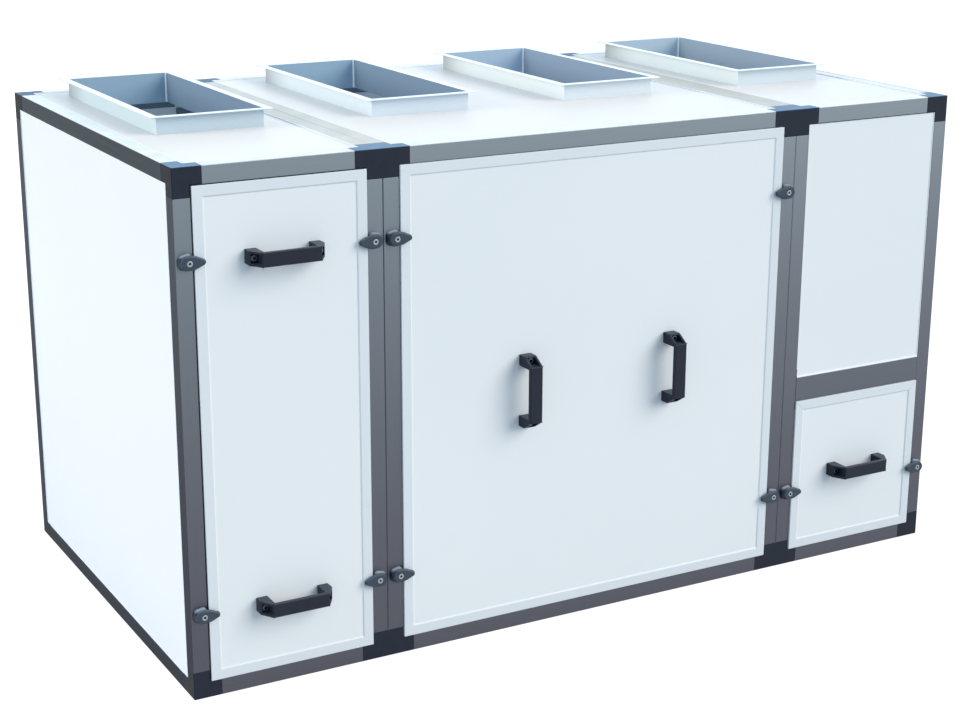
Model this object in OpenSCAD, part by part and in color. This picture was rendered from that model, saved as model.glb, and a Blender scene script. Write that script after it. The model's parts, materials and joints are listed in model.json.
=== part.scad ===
// Modular air handling unit: three framed modules under four rectangular duct collars,
// closed by sandwich panels and by lift-off doors that turn latches hold.
// Millimetres. X runs right along the front, Y runs back, Z runs up from the floor.

/* [Case] */
// Width of the left and of the right module
side_module_w = 370; // [330:5:600]
// Width of the middle module
mid_module_w = 866; // [760:2:1400]
// Depth of the case, front face to back face
case_d = 888; // [720:2:1200]
// Height of the case above the floor
case_h = 924; // [800:2:1300]

/* [Frame profiles] */
// Outside width of the square profile
prof = 30; // [28:1:40]
// Wall of the profile
prof_wall = 2; // [1.2:0.1:3]
// Width of the lip that a panel or a door seats on
lip_w = 18; // [14:1:20]
// Thickness of the lip
lip_t = 2; // [1.2:0.1:3]
// Joint line between two profiles that stand side by side
seam_gap = 0.6; // [0.2:0.1:1.2]
// Radius of the outer edge of profiles and blocks
edge_r = 1.5; // [0.5:0.1:2.5]

/* [Corner and tee blocks] */
// Length of an arm, from the outer corner
arm = 51; // [49:1:70]
// Length of the spigot that enters a profile
spigot_len = 28; // [10:1:40]
// Clearance of the spigot inside the profile
spigot_gap = 0.2; // [0.05:0.05:0.5]

/* [Panels] */
// Thickness of a fixed panel
panel_t = 26; // [20:0.5:27]
// Gap between a panel's edge and the profile
panel_gap = 0.8; // [0.3:0.1:2]

/* [Doors] */
// Gap between a door's edge and the profile
door_gap = 1; // [0.5:0.1:2]
// How far a door stands out from the frame
door_proud = 3; // [1:0.5:4.5]
// Thickness of the seal behind a door
gasket_t = 4; // [2:0.5:6]
// Width of the seal
gasket_w = 9; // [6:0.5:11]
// Distance of the seal from the door's edge
gasket_inset = 1.5; // [0.5:0.5:3]
// Border around a door's pressed field
field_border = 18; // [12:1:30]
// Depth of the pressed field
field_depth = 2; // [0.5:0.1:2.5]
// Width of the field's sloped edge
field_run = 2; // [1:0.1:6]
// How far the left door hangs to the right and down in its opening
door_play = 0.6; // [0:0.1:0.9]

/* [Middle rail of the right module] */
// Height of its lower edge above the floor
mid_rail_z = 344; // [320:2:440]
// Height of the rail
mid_rail_h = 48; // [40:1:70]

/* [Duct collars] */
// Outside width of a collar
collar_w = 200; // [150:2:220]
// Outside length of a collar, front to back
collar_l = 500; // [300:5:600]
// Sheet thickness of the collar
collar_wall = 1; // [0.7:0.1:2]
// Height of the flange face above the roof panel
collar_h = 33; // [20:1:60]
// Width of the outward flange
flange_w = 14; // [8:1:20]
// Thickness of the flange
flange_t = 1.2; // [0.8:0.1:2]
// Distance from the collars to the back of the case
collar_back = 83; // [50:1:300]
// Distance from a seam to the centre of the middle module's collar beside it
seam_collar = 227.5; // [150:0.5:300]

/* [Handles] */
// Length over the two feet
handle_len = 135; // [110:1:180]
// Width of the handle
handle_w = 25; // [20:1:32]
// Height of the grip's face above the door
handle_h = 43; // [34:1:50]
// Thickness of the grip
grip_t = 8; // [5:0.5:12]
// Length of a foot on the door
foot_len = 20.5; // [18:0.5:30]
// Straight part of the end before it slopes
end_h = 18; // [17:0.5:26]
// Run of the sloped end
end_run = 15.5; // [14:0.5:19]
// Rounding of the handle's long edges and of its corners
handle_r = 2; // [1:0.5:3.5]
// Width of the open screw pocket
pocket_w = 16.5; // [12:0.5:18]
// Distance from the foot's end to the pocket
pocket_inset = 2.5; // [2:0.5:4]
// Material left under the screw head
pocket_floor = 16; // [8:0.5:17]
// Rounding of the pocket's corners
pocket_r = 2; // [1:0.5:4]
// Radius of the screw hole
handle_hole_r = 3.2; // [2:0.1:4]
// Distance of the two upright handles from the middle of the centre door
mid_handle_x = 155; // [60:1:250]
// Height of the right door's handle above the floor
right_handle_z = 188; // [160:1:260]

/* [Turn latches] */
// Distance from a module's edge to the latch pivot
pivot_edge = 20.5; // [18.5:0.5:22]
// Height of the lower latches above the floor, and of the upper ones below the top
latch_z = 155; // [100:1:190]
// Radius of the fixed base on the frame
base_r = 17.5; // [14:0.5:18]
// Radius of the base at its face
base_face_r = 13.5; // [10:0.5:14]
// Height of the base
base_h = 7.7; // [6:0.1:10]
// Distance from the base's straight side to the door's opening
base_gap = 0.5; // [0.2:0.1:1.5]
// Gap between base and wing, and between wing and screw head
turn_gap = 0.3; // [0.2:0.1:0.6]
// Thickness of the wing
wing_t = 5; // [4:0.5:8]
// Radius of the wing's round end
wing_r = 13.5; // [12:0.5:15]
// Radius of the wing's tip
tip_r = 6; // [4:0.5:7]
// Reach of the wing from the pivot to the tip
wing_reach = 29; // [25:0.5:34]
// Draft of the wing's sides, per side
wing_draft = 2.5; // [0.5:0.5:3]
// Distance from the pivot to the wing's widest corners
cheek_x = 10; // [6:0.5:14]
// Height of the corners over the wing's middle line
cheek_z = 13; // [10:0.5:14]
// Rounding of the corners
cheek_r = 4.5; // [3.5:0.5:6]
// Radius of the pivot screw's shoulder
shoulder_r = 4; // [3:0.5:4]
// Running clearance of the wing on the shoulder
run_gap = 0.05; // [0.02:0.01:0.1]
// Radius of the screw head
head_r = 5; // [4.8:0.1:6.5]
// Gap round the screw head in its counterbore
head_gap = 0.4; // [0.3:0.1:0.8]
// Depth of the counterbore in the wing
head_sink = 2.2; // [1.5:0.1:2.6]
// Height of the screw head
head_h = 2.2; // [2:0.1:4]
// Hexagon socket, across the corners, as a radius
socket_r = 2.6; // [1.5:0.1:3]
// Depth of the socket
socket_d = 1.8; // [0.8:0.1:1.8]

/* [Hidden] */
$fn = 48;
case_w = 2 * side_module_w + mid_module_w;
left = -case_w / 2;
right = case_w / 2;
front = -case_d / 2;
back = case_d / 2;
seam_x = mid_module_w / 2;
seam_off = seam_gap / 2;
seat = prof - lip_t;
panel_recess = seat - panel_t;
roof_z = case_h - panel_recess;
door_face = front - door_proud;
door_t = seat + door_proud - gasket_t;
door_back = door_face + door_t;
field_face = door_face + field_depth;
mid_rail_top = mid_rail_z + mid_rail_h;
spigot_in = prof_wall + spigot_gap;
spigot_w = prof - 2 * spigot_in;
mod_x0 = [left, -seam_x, seam_x];
mod_x1 = [-seam_x, seam_x, right];
open_x0 = [left + prof, -seam_x + seam_off + prof, seam_x + seam_off + prof];
open_x1 = [-seam_x - seam_off - prof, seam_x - seam_off - prof, right - prof];
mod_mid = [(left - seam_x) / 2, 0, (right + seam_x) / 2];
door_top = [case_h - prof - door_gap, case_h - prof - door_gap, mid_rail_z - door_gap];
door_foot = prof + door_gap;
door_off = [door_play, 0, 0];
collar_x = [mod_mid[0], -seam_x + seam_collar, seam_x - seam_collar, mod_mid[2]];
collar_y = back - collar_back - collar_l;
latch_top_z = case_h - latch_z;
wing_y = base_h + turn_gap;
head_y = wing_y + wing_t - head_sink + turn_gap;
base_cut = prof - pivot_edge - base_gap;
eps = 0.01;

// Helpers

// Turns an upright extrusion to run along X: its x becomes Y and its y becomes Z
module along_x() {
    rotate([90, 0, 90]) children();
}

// Turns an upright extrusion to run along Y: its x becomes Z and its y becomes X
module along_y() {
    along_x() along_x() children();
}

// Copies to the top half as well as the bottom half
module bottom_and_top() {
    children();
    translate([0, 0, case_h]) mirror([0, 0, 1]) children();
}

// Copies to the left and to the right
module both_ends() {
    children();
    mirror([1, 0, 0]) children();
}

// Copies to the front and to the back
module front_and_back() {
    children();
    mirror([0, 1, 0]) children();
}

// Copies to both sides of both seams
module seam_sides() {
    for (s = [-seam_x, seam_x]) {
        translate([s, 0, 0]) children();
        translate([s, 0, 0]) mirror([1, 0, 0]) children();
    }
}

// Square from the origin with its outer corner, the one at the origin, rounded
module corner_2d(w) {
    translate([edge_r, 0]) square([w - edge_r, w]);
    translate([0, edge_r]) square([w, w - edge_r]);
    translate([edge_r, edge_r]) circle(edge_r);
}

// Cross-section of the frame profile, with a seat lip on one or on both inner sides
module profile_2d(lip_a, lip_b) {
    difference() {
        corner_2d(prof);
        translate([prof_wall, prof_wall]) square(prof - 2 * prof_wall);
    }
    if (lip_a) {
        translate([prof - prof_wall, seat]) square([lip_w + prof_wall, lip_t]);
    }
    if (lip_b) {
        translate([seat, prof - prof_wall]) square([lip_t, lip_w + prof_wall]);
    }
}

module profile(len, lip_a, lip_b) {
    linear_extrude(len) profile_2d(lip_a, lip_b);
}

// A panel lying in a module's opening, between the frame members
module sheet(x0, x1, y0, y1, z0, z1) {
    translate([x0, y0, z0]) cube([x1 - x0, y1 - y0, z1 - z0]);
}

module rounded_2d(w, h, r) {
    square([w - 2 * r, h], center = true);
    square([w, h - 2 * r], center = true);
    for (x = [-1, 1], y = [-1, 1]) {
        translate([x * (w / 2 - r), y * (h / 2 - r)]) circle(r);
    }
}

// Frame

// Outline of a corner block, the same from the front, the side and above
module ell_2d() {
    difference() {
        corner_2d(arm);
        translate([prof, prof]) square(arm);
    }
}

// Outline of a tee block from the front and from above
module tee_2d() {
    half = prof + seam_off;
    translate([-arm, 0]) square([2 * arm, prof]);
    translate([-half, 0]) square([2 * half, arm]);
}

// One three-way block at the front lower left, with spigots into its three profiles
module corner_block() {
    translate([left, front, 0]) {
        intersection() {
            linear_extrude(arm) ell_2d();
            along_x() linear_extrude(arm) ell_2d();
            along_y() linear_extrude(arm) ell_2d();
        }
        translate([spigot_in, spigot_in, spigot_in]) {
            cube([arm + spigot_len - spigot_in, spigot_w, spigot_w]);
            cube([spigot_w, arm + spigot_len - spigot_in, spigot_w]);
            cube([spigot_w, spigot_w, arm + spigot_len - spigot_in]);
        }
    }
}

module corner_blocks() {
    color("#33394a") bottom_and_top() front_and_back() both_ends() corner_block();
}

// One tee block at the front foot of a seam, with spigots into its six profiles
module tee_block() {
    translate([0, front, 0]) {
        intersection() {
            linear_extrude(arm) tee_2d();
            translate([0, arm, 0]) rotate([90, 0, 0]) linear_extrude(arm) tee_2d();
            translate([-arm, 0, 0]) along_x() linear_extrude(2 * arm) ell_2d();
        }
        for (m = [0, 1]) mirror([m, 0, 0]) {
            translate([arm - eps, spigot_in, spigot_in]) cube([spigot_len + eps, spigot_w, spigot_w]);
            translate([seam_off + spigot_in, arm - eps, spigot_in]) cube([spigot_w, spigot_len + eps, spigot_w]);
            translate([seam_off + spigot_in, spigot_in, arm - eps]) cube([spigot_w, spigot_w, spigot_len + eps]);
        }
    }
}

module tee_blocks() {
    color("#33394a") bottom_and_top() front_and_back() for (s = [-seam_x, seam_x]) {
        translate([s, 0, 0]) tee_block();
    }
}

module corner_posts() {
    color("#7d8a95") front_and_back() both_ends() {
        translate([left, front, arm]) profile(case_h - 2 * arm, true, true);
    }
}

module seam_posts() {
    color("#7d8a95") front_and_back() seam_sides() {
        translate([seam_off, front, arm]) profile(case_h - 2 * arm, true, false);
    }
}

// Lower and upper rails of the three modules, on the front
module cross_rails() {
    bottom_and_top() for (i = [0, 1, 2]) {
        translate([mod_x0[i] + arm, front, 0]) along_x() profile(mod_x1[i] - mod_x0[i] - 2 * arm, true, true);
    }
}

module front_rails() {
    color("#7d8a95") cross_rails();
}

module back_rails() {
    color("#7d8a95") mirror([0, 1, 0]) cross_rails();
}

module side_rails() {
    color("#7d8a95") bottom_and_top() both_ends() {
        translate([left, front + arm, 0]) along_y() profile(case_d - 2 * arm, true, true);
    }
}

module seam_rails() {
    color("#b9b9b2") bottom_and_top() seam_sides() {
        translate([seam_off, front + arm, 0]) along_y() profile(case_d - 2 * arm, false, true);
    }
}

// Box rail between the right module's panel and door, with a back plate as their seat
module mid_rail() {
    len = open_x1[2] - open_x0[2];
    color("#6f7883") {
        difference() {
            translate([open_x0[2], front, mid_rail_z]) cube([len, seat, mid_rail_h]);
            translate([open_x0[2] - 1, front + prof_wall, mid_rail_z + prof_wall]) {
                cube([len + 2, seat - 2 * prof_wall, mid_rail_h - 2 * prof_wall]);
            }
        }
        translate([open_x0[2] + lip_w, front + seat, mid_rail_z - lip_w]) {
            cube([len - 2 * lip_w, lip_t, mid_rail_h + 2 * lip_w]);
        }
    }
}

// Panels

module end_panel() {
    sheet(left + panel_recess, left + seat, front + prof + panel_gap, back - prof - panel_gap,
          prof + panel_gap, case_h - prof - panel_gap);
}

module left_panel() {
    color("#e6eef4") end_panel();
}

module right_panel() {
    color("#e6eef4") mirror([1, 0, 0]) end_panel();
}

module upper_front_panel() {
    color("#dfe8ee") sheet(open_x0[2] + panel_gap, open_x1[2] - panel_gap, front + panel_recess, front + seat,
                           mid_rail_top + panel_gap, case_h - prof - panel_gap);
}

// Roof panel of module i, cut out for the collars listed
module roof_panel(i, collars) {
    difference() {
        sheet(open_x0[i] + panel_gap, open_x1[i] - panel_gap, front + prof + panel_gap, back - prof - panel_gap,
              case_h - seat, roof_z);
        for (c = collars) {
            translate([collar_x[c] - collar_w / 2, collar_y, case_h - seat - 1]) cube([collar_w, collar_l, panel_t + 2]);
        }
    }
}

module roof_panel_left() {
    color("#f0f4f6") roof_panel(0, [0]);
}

module roof_panel_centre() {
    color("#f0f4f6") roof_panel(1, [1, 2]);
}

module roof_panel_right() {
    color("#f0f4f6") roof_panel(2, [3]);
}

module floor_panel(i) {
    sheet(open_x0[i] + panel_gap, open_x1[i] - panel_gap, front + prof + panel_gap, back - prof - panel_gap, 0, seat);
}

module floor_panel_left() {
    color("#d5dce1") floor_panel(0);
}

module floor_panel_centre() {
    color("#d5dce1") floor_panel(1);
}

module floor_panel_right() {
    color("#d5dce1") floor_panel(2);
}

module back_panel(i) {
    sheet(open_x0[i] + panel_gap, open_x1[i] - panel_gap, back - seat, back - panel_recess,
          prof + panel_gap, case_h - prof - panel_gap);
}

module back_panel_left() {
    color("#dfe8ee") back_panel(0);
}

module back_panel_centre() {
    color("#dfe8ee") back_panel(1);
}

module back_panel_right() {
    color("#dfe8ee") back_panel(2);
}

// Doors

// Section of the pressed field across a door of width w: its edges slope down to the floor
module field_2d(w) {
    rim = w / 2 - field_border;
    bed = rim - field_run;
    polygon([[-bed, field_depth], [-rim, 0], [-rim, -1], [rim, -1], [rim, 0], [bed, field_depth]]);
}

// Cut of the pressed field, mitred where the slopes meet
module field_cut(w, h) {
    intersection() {
        linear_extrude(h, center = true) field_2d(w);
        along_x() linear_extrude(w, center = true) mirror([1, -1, 0]) field_2d(h);
    }
}

// Door of module i: a flat tray with a pressed field inside a plain border
module door(i) {
    w = open_x1[i] - open_x0[i] - 2 * door_gap;
    h = door_top[i] - door_foot;
    in_opening(i) translate([mod_mid_open(i), door_face, door_foot + h / 2]) {
        difference() {
            translate([-w / 2, 0, -h / 2]) cube([w, door_t, h]);
            field_cut(w, h);
        }
    }
}

function mod_mid_open(i) = (open_x0[i] + open_x1[i]) / 2;

// Shifts what belongs to door i by the play that the door hangs with
module in_opening(i) {
    translate([door_off[i], 0, -door_off[i]]) children();
}

module door_left() {
    color("#dce7ef") door(0);
}

module door_centre() {
    color("#dce7ef") door(1);
}

module door_right() {
    color("#dce7ef") door(2);
}

// Seal ring between the back of door i and the seat lips
module door_seal(i) {
    x0 = open_x0[i] + door_gap + gasket_inset;
    x1 = open_x1[i] - door_gap - gasket_inset;
    z0 = door_foot + gasket_inset;
    z1 = door_top[i] - gasket_inset;
    in_opening(i) difference() {
        sheet(x0, x1, door_back, front + seat, z0, z1);
        sheet(x0 + gasket_w, x1 - gasket_w, door_back - 1, front + seat + 1, z0 + gasket_w, z1 - gasket_w);
    }
}

module door_seals() {
    color("#23262b") for (i = [0, 1, 2]) door_seal(i);
}

// Duct collars

// Collar c: a sheet spigot through the roof panel with an outward flange around its mouth
module collar(c) {
    z0 = case_h - seat;
    z1 = roof_z + collar_h;
    translate([collar_x[c] - collar_w / 2, collar_y, 0]) difference() {
        union() {
            translate([0, 0, z0]) cube([collar_w, collar_l, z1 - z0]);
            translate([-flange_w, -flange_w, z1 - flange_t]) {
                cube([collar_w + 2 * flange_w, collar_l + 2 * flange_w, flange_t]);
            }
        }
        translate([collar_wall, collar_wall, z0 - 1]) {
            cube([collar_w - 2 * collar_wall, collar_l - 2 * collar_wall, z1 - z0 + 2]);
        }
    }
}

module collar_a() {
    color("#c9d8e2") collar(0);
}

module collar_b() {
    color("#c9d8e2") collar(1);
}

module collar_c() {
    color("#c9d8e2") collar(2);
}

module collar_d() {
    color("#c9d8e2") collar(3);
}

// Handles

// Side outline of a bridge handle: two feet, sloped ends and the grip between them
module handle_side_2d() {
    half = handle_len / 2;
    polygon([
        [-half, 0], [-half, end_h], [-half + end_run, handle_h],
        [half - end_run, handle_h], [half, end_h], [half, 0],
        [half - foot_len, 0], [half - foot_len, handle_h - grip_t],
        [-half + foot_len, handle_h - grip_t], [-half + foot_len, 0]
    ]);
}

// Bridge handle along X on the plane z = 0, with an open screw pocket in each sloped end
module handle() {
    pocket_x = handle_len / 2 - (end_run + pocket_inset) / 2;
    difference() {
        intersection() {
            rotate([90, 0, 0]) linear_extrude(handle_w, center = true) handle_side_2d();
            linear_extrude(handle_h) rounded_2d(handle_len, handle_w, handle_r);
            along_x() linear_extrude(handle_len, center = true) rounded_2d(handle_w, 2 * handle_h, handle_r);
        }
        for (m = [0, 1]) mirror([m, 0, 0]) translate([pocket_x, 0, 0]) {
            translate([0, 0, pocket_floor]) linear_extrude(handle_h) {
                rounded_2d(end_run - pocket_inset, pocket_w, pocket_r);
            }
            translate([0, 0, -1]) cylinder(r = handle_hole_r, h = pocket_floor + 2);
        }
    }
}

// Seats a handle on the pressed field of a door
module on_door(x, z, turn) {
    translate([x, field_face, z]) rotate([90, 0, 0]) rotate([0, 0, turn]) children();
}

module handle_left_upper() {
    color("#2e323c") in_opening(0) on_door(mod_mid_open(0), latch_top_z, 0) handle();
}

module handle_left_lower() {
    color("#2e323c") in_opening(0) on_door(mod_mid_open(0), latch_z, 0) handle();
}

module handle_centre_a() {
    color("#2e323c") on_door(-mid_handle_x, case_h / 2, 90) handle();
}

module handle_centre_b() {
    color("#2e323c") on_door(mid_handle_x, case_h / 2, 90) handle();
}

module handle_right() {
    color("#2e323c") on_door(mod_mid_open(2), right_handle_z, 0) handle();
}

// Turn latches

// Places of the latches on the frame: x, z and the side that the wing points to
LATCHES = [
    [left + pivot_edge, latch_top_z, 1], [-seam_x - pivot_edge, latch_top_z, -1],
    [left + pivot_edge, latch_z, 1], [-seam_x - pivot_edge, latch_z, -1],
    [-seam_x + pivot_edge, latch_top_z, 1], [seam_x - pivot_edge, latch_top_z, -1],
    [-seam_x + pivot_edge, latch_z, 1], [seam_x - pivot_edge, latch_z, -1],
    [seam_x + pivot_edge, latch_z, 1], [right - pivot_edge, latch_z, -1]
];

// Stands a piece on the frame's face at latch k, its z pointing out and its x to the door
module at_latch(k) {
    p = LATCHES[k];
    translate([p[0], front, p[1]]) rotate([90, 0, 0]) mirror([p[2] < 0 ? 1 : 0, 0, 0]) children();
}

// Fixed base: a low cone, cut straight beside the door
module latch_base() {
    difference() {
        cylinder(r1 = base_r, r2 = base_face_r, h = base_h);
        translate([base_cut, -base_r - 1, -1]) cube([base_r, 2 * base_r + 2, base_h + 2]);
        translate([0, 0, -1]) cylinder(r = shoulder_r + run_gap, h = base_h + 2);
    }
}

module latch_bases() {
    color("#566374") for (k = [0:9]) at_latch(k) latch_base();
}

// Shoulder screw: the pivot that the wing turns on
module latch_screw() {
    cylinder(r = shoulder_r, h = head_y + eps);
    difference() {
        translate([0, 0, head_y]) cylinder(r = head_r, h = head_h);
        translate([0, 0, head_y + head_h - socket_d]) cylinder(r = socket_r, h = socket_d + 1, $fn = 6);
    }
}

module latch_screws() {
    color("#c3c8cc") for (k = [0:9]) at_latch(k) latch_screw();
}

// One drafted round of the wing's outline
module wing_round(x, z, r) {
    translate([x, z, 0]) cylinder(r1 = r, r2 = r - wing_draft, h = wing_t);
}

// Wing: a drafted almond shape that swings off the door's edge, with a counterbore for the screw head
module wing(k) {
    color("#465160") at_latch(k) translate([0, 0, wing_y]) difference() {
        hull() {
            wing_round(0, 0, wing_r);
            wing_round(cheek_x, cheek_z - cheek_r, cheek_r);
            wing_round(cheek_x, cheek_r - cheek_z, cheek_r);
            wing_round(wing_reach - tip_r, 0, tip_r);
        }
        translate([0, 0, -1]) cylinder(r = shoulder_r + run_gap, h = wing_t + 2);
        translate([0, 0, wing_t - head_sink]) cylinder(r = head_r + head_gap, h = head_sink + 1);
    }
}

module latch_left_ul() {
    wing(0);
}

module latch_left_ur() {
    wing(1);
}

module latch_left_ll() {
    wing(2);
}

module latch_left_lr() {
    wing(3);
}

module latch_centre_ul() {
    wing(4);
}

module latch_centre_ur() {
    wing(5);
}

module latch_centre_ll() {
    wing(6);
}

module latch_centre_lr() {
    wing(7);
}

module latch_right_l() {
    wing(8);
}

module latch_right_r() {
    wing(9);
}

corner_blocks();
tee_blocks();
corner_posts();
seam_posts();
front_rails();
back_rails();
side_rails();
seam_rails();
mid_rail();
left_panel();
right_panel();
upper_front_panel();
roof_panel_left();
roof_panel_centre();
roof_panel_right();
floor_panel_left();
floor_panel_centre();
floor_panel_right();
back_panel_left();
back_panel_centre();
back_panel_right();
door_left();
door_centre();
door_right();
door_seals();
collar_a();
collar_b();
collar_c();
collar_d();
handle_left_upper();
handle_left_lower();
handle_centre_a();
handle_centre_b();
handle_right();
latch_bases();
latch_screws();
latch_left_ul();
latch_left_ur();
latch_left_ll();
latch_left_lr();
latch_centre_ul();
latch_centre_ur();
latch_centre_ll();
latch_centre_lr();
latch_right_l();
latch_right_r();
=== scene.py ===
# %% [markdown]
# # A modular air handling unit
# The unit is three box modules bolted side by side. Each module is a frame of grey aluminium profiles, joined by
# dark nylon blocks and filled with white sandwich panels. The construction model already has every piece in its
# place, so this lesson is about the surface: soft edges, finishes, small fixings, light and camera.

# %% Load the construction model
import json
import math
import bmesh
import bpy
from mathutils import Matrix, Vector


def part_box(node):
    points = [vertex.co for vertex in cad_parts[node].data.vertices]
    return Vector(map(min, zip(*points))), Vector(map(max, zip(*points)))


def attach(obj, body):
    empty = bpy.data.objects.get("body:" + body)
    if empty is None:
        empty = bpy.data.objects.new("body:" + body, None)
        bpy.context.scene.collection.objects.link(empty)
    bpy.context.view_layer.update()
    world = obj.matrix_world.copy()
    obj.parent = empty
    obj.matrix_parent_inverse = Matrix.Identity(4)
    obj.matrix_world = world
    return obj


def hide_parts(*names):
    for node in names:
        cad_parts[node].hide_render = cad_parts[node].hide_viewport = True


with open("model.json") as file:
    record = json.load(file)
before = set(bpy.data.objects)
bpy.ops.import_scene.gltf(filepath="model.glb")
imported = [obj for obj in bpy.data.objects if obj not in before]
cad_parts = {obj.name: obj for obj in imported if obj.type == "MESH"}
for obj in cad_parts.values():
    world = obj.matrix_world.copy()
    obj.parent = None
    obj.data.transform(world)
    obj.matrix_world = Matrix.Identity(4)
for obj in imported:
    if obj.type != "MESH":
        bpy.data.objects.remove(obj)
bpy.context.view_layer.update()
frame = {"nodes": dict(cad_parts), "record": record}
nodes = frame["nodes"]

# %% [markdown]
# ## Soft edges
# No real edge is perfectly sharp. Sheet metal is folded over a small radius and a moulded block has a rounded rim,
# and that rim is where the light catches. The construction model has split faces, so each node first gets its
# points welded, and then a narrow bevel runs along every edge that turns by more than 35 degrees. The last step
# weights the normals by face, so that the flat faces stay flat and only the rims shade round. All of it is done by
# modifiers, so the construction mesh itself is left alone.

# %% A node tree that decides which edges shade smooth
def new_tree(name):
    tree = bpy.data.node_groups.new(name, "GeometryNodeTree")
    tree.interface.new_socket("Geometry", in_out="INPUT", socket_type="NodeSocketGeometry")
    tree.interface.new_socket("Geometry", in_out="OUTPUT", socket_type="NodeSocketGeometry")
    print("geometry tree:", name)
    return tree, tree.nodes.new("NodeGroupInput"), tree.nodes.new("NodeGroupOutput")


rim_angle = math.radians(50)
smooth_tree, way_in, way_out = new_tree("Smooth Rims")
edge_angle = smooth_tree.nodes.new("GeometryNodeInputMeshEdgeAngle")
is_sharp = smooth_tree.nodes.new("FunctionNodeCompare")
is_sharp.inputs["B"].default_value = rim_angle
set_normal = smooth_tree.nodes.new("GeometryNodeSetMeshNormal")
set_normal.inputs["Remove Custom"].default_value = True
smooth_tree.links.new(edge_angle.outputs["Unsigned Angle"], is_sharp.inputs["A"])
smooth_tree.links.new(way_in.outputs["Geometry"], set_normal.inputs["Mesh"])
smooth_tree.links.new(is_sharp.outputs["Result"], set_normal.inputs["Edge Sharpness"])
smooth_tree.links.new(set_normal.outputs["Mesh"], way_out.inputs["Geometry"])
print("edges shade smooth up to", round(math.degrees(rim_angle)), "degrees")


# %% Bevel the nodes
weld_distance = 0.00001
bevel_angle = math.radians(35)


def soften(node, width):
    piece = nodes[node]
    weld = piece.modifiers.new("Weld points", "WELD")
    weld.merge_threshold = weld_distance
    bevel = piece.modifiers.new("Soft edge", "BEVEL")
    bevel.width = width
    bevel.segments = 2
    bevel.limit_method = "ANGLE"
    bevel.angle_limit = bevel_angle
    bevel.use_clamp_overlap = False
    bevel.face_strength_mode = "FSTR_AFFECTED"
    rims = piece.modifiers.new("Smooth rims", "NODES")
    rims.node_group = smooth_tree
    flats = piece.modifiers.new("Flat faces", "WEIGHTED_NORMAL")
    flats.keep_sharp = True
    flats.use_face_influence = True


sheet_edge = 0.0010
grip_edge = 0.0009
edge_width = {
    "corner_blocks": 0.0008, "tee_blocks": 0.0008, "corner_posts": 0.0004, "seam_posts": 0.0004,
    "front_rails": 0.0004, "back_rails": 0.0004, "side_rails": 0.0004, "seam_rails": 0.0004, "mid_rail": 0.0006,
    "latch_screws": 0.0004,
}
for name in nodes:
    if name.endswith("_panel") or name.startswith(("roof_panel", "floor_panel", "back_panel")):
        edge_width[name] = sheet_edge
    elif name in ("door_left", "door_centre", "door_right"):
        edge_width[name] = sheet_edge
    elif name.startswith("handle"):
        edge_width[name] = grip_edge
for name, width in edge_width.items():
    soften(name, width)
print("softened", len(edge_width), "nodes")

# %% [markdown]
# ## Effects shared by the finishes
# Paint, metal and moulded nylon differ in colour and gloss, yet they share the same small effects: a fine texture and
# a slow change of tone over the sheet. Other groups paint light and shade into the colour: a painted sheen on what
# faces up, a painted ramp of light or shade along one direction, painted shade or light on faces that look one way,
# and painted shade inside an open box. Each effect is one shader node group with named inputs, so several materials
# can use it with their own numbers. The groups put out colours and values only, and the shader itself stays in the
# material.

# %% Helpers for shader node groups
def new_group(name, inputs, outputs):
    group = bpy.data.node_groups.new(name, "ShaderNodeTree")
    kinds = {"colour": "NodeSocketColor", "value": "NodeSocketFloat", "vector": "NodeSocketVector"}
    for label, kind, start in inputs:
        socket = group.interface.new_socket(label, in_out="INPUT", socket_type=kinds[kind])
        socket.default_value = start
    for label, kind in outputs:
        group.interface.new_socket(label, in_out="OUTPUT", socket_type=kinds[kind])
    print("shader group:", name, "with", len(inputs), "inputs")
    return group, group.nodes.new("NodeGroupInput"), group.nodes.new("NodeGroupOutput")


def noise(tree, vector, scale, detail, seed):
    texture = tree.nodes.new("ShaderNodeTexNoise")
    texture.noise_dimensions = "4D"
    texture.inputs["W"].default_value = seed
    texture.inputs["Detail"].default_value = detail
    if isinstance(scale, (int, float)):
        texture.inputs["Scale"].default_value = scale
    else:
        tree.links.new(scale, texture.inputs["Scale"])
    tree.links.new(vector, texture.inputs["Vector"])
    return texture.outputs["Fac"]


def remap(tree, value, from_low, from_high, to_low=0.0, to_high=1.0):
    ranged = tree.nodes.new("ShaderNodeMapRange")
    for place, start in ((1, from_low), (2, from_high), (3, to_low), (4, to_high)):
        if isinstance(start, (int, float)):
            ranged.inputs[place].default_value = start
        else:
            tree.links.new(start, ranged.inputs[place])
    tree.links.new(value, ranged.inputs[0])
    return ranged.outputs[0]


def times(tree, a, b):
    product = tree.nodes.new("ShaderNodeMath")
    product.operation = "MULTIPLY"
    for place, factor in enumerate((a, b)):
        if isinstance(factor, (int, float)):
            product.inputs[place].default_value = factor
        else:
            tree.links.new(factor, product.inputs[place])
    return product.outputs[0]


def blend(tree, share, first, second):
    mixer = tree.nodes.new("ShaderNodeMix")
    mixer.data_type = "RGBA"
    tree.links.new(share, mixer.inputs[0])
    for place, colour in ((6, first), (7, second)):
        if isinstance(colour, tuple):
            mixer.inputs[place].default_value = colour
        else:
            tree.links.new(colour, mixer.inputs[place])
    return mixer.outputs[2]


def multiply(tree, first, second):
    mixer = tree.nodes.new("ShaderNodeMix")
    mixer.data_type = "RGBA"
    mixer.blend_type = "MULTIPLY"
    mixer.inputs[0].default_value = 1.0
    tree.links.new(first, mixer.inputs[6])
    tree.links.new(second, mixer.inputs[7])
    return mixer.outputs[2]


def object_point(tree):
    return tree.nodes.new("ShaderNodeTexCoord").outputs["Object"]


surface_outputs = [("Colour", "colour"), ("Roughness", "value"), ("Height", "value")]

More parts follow.
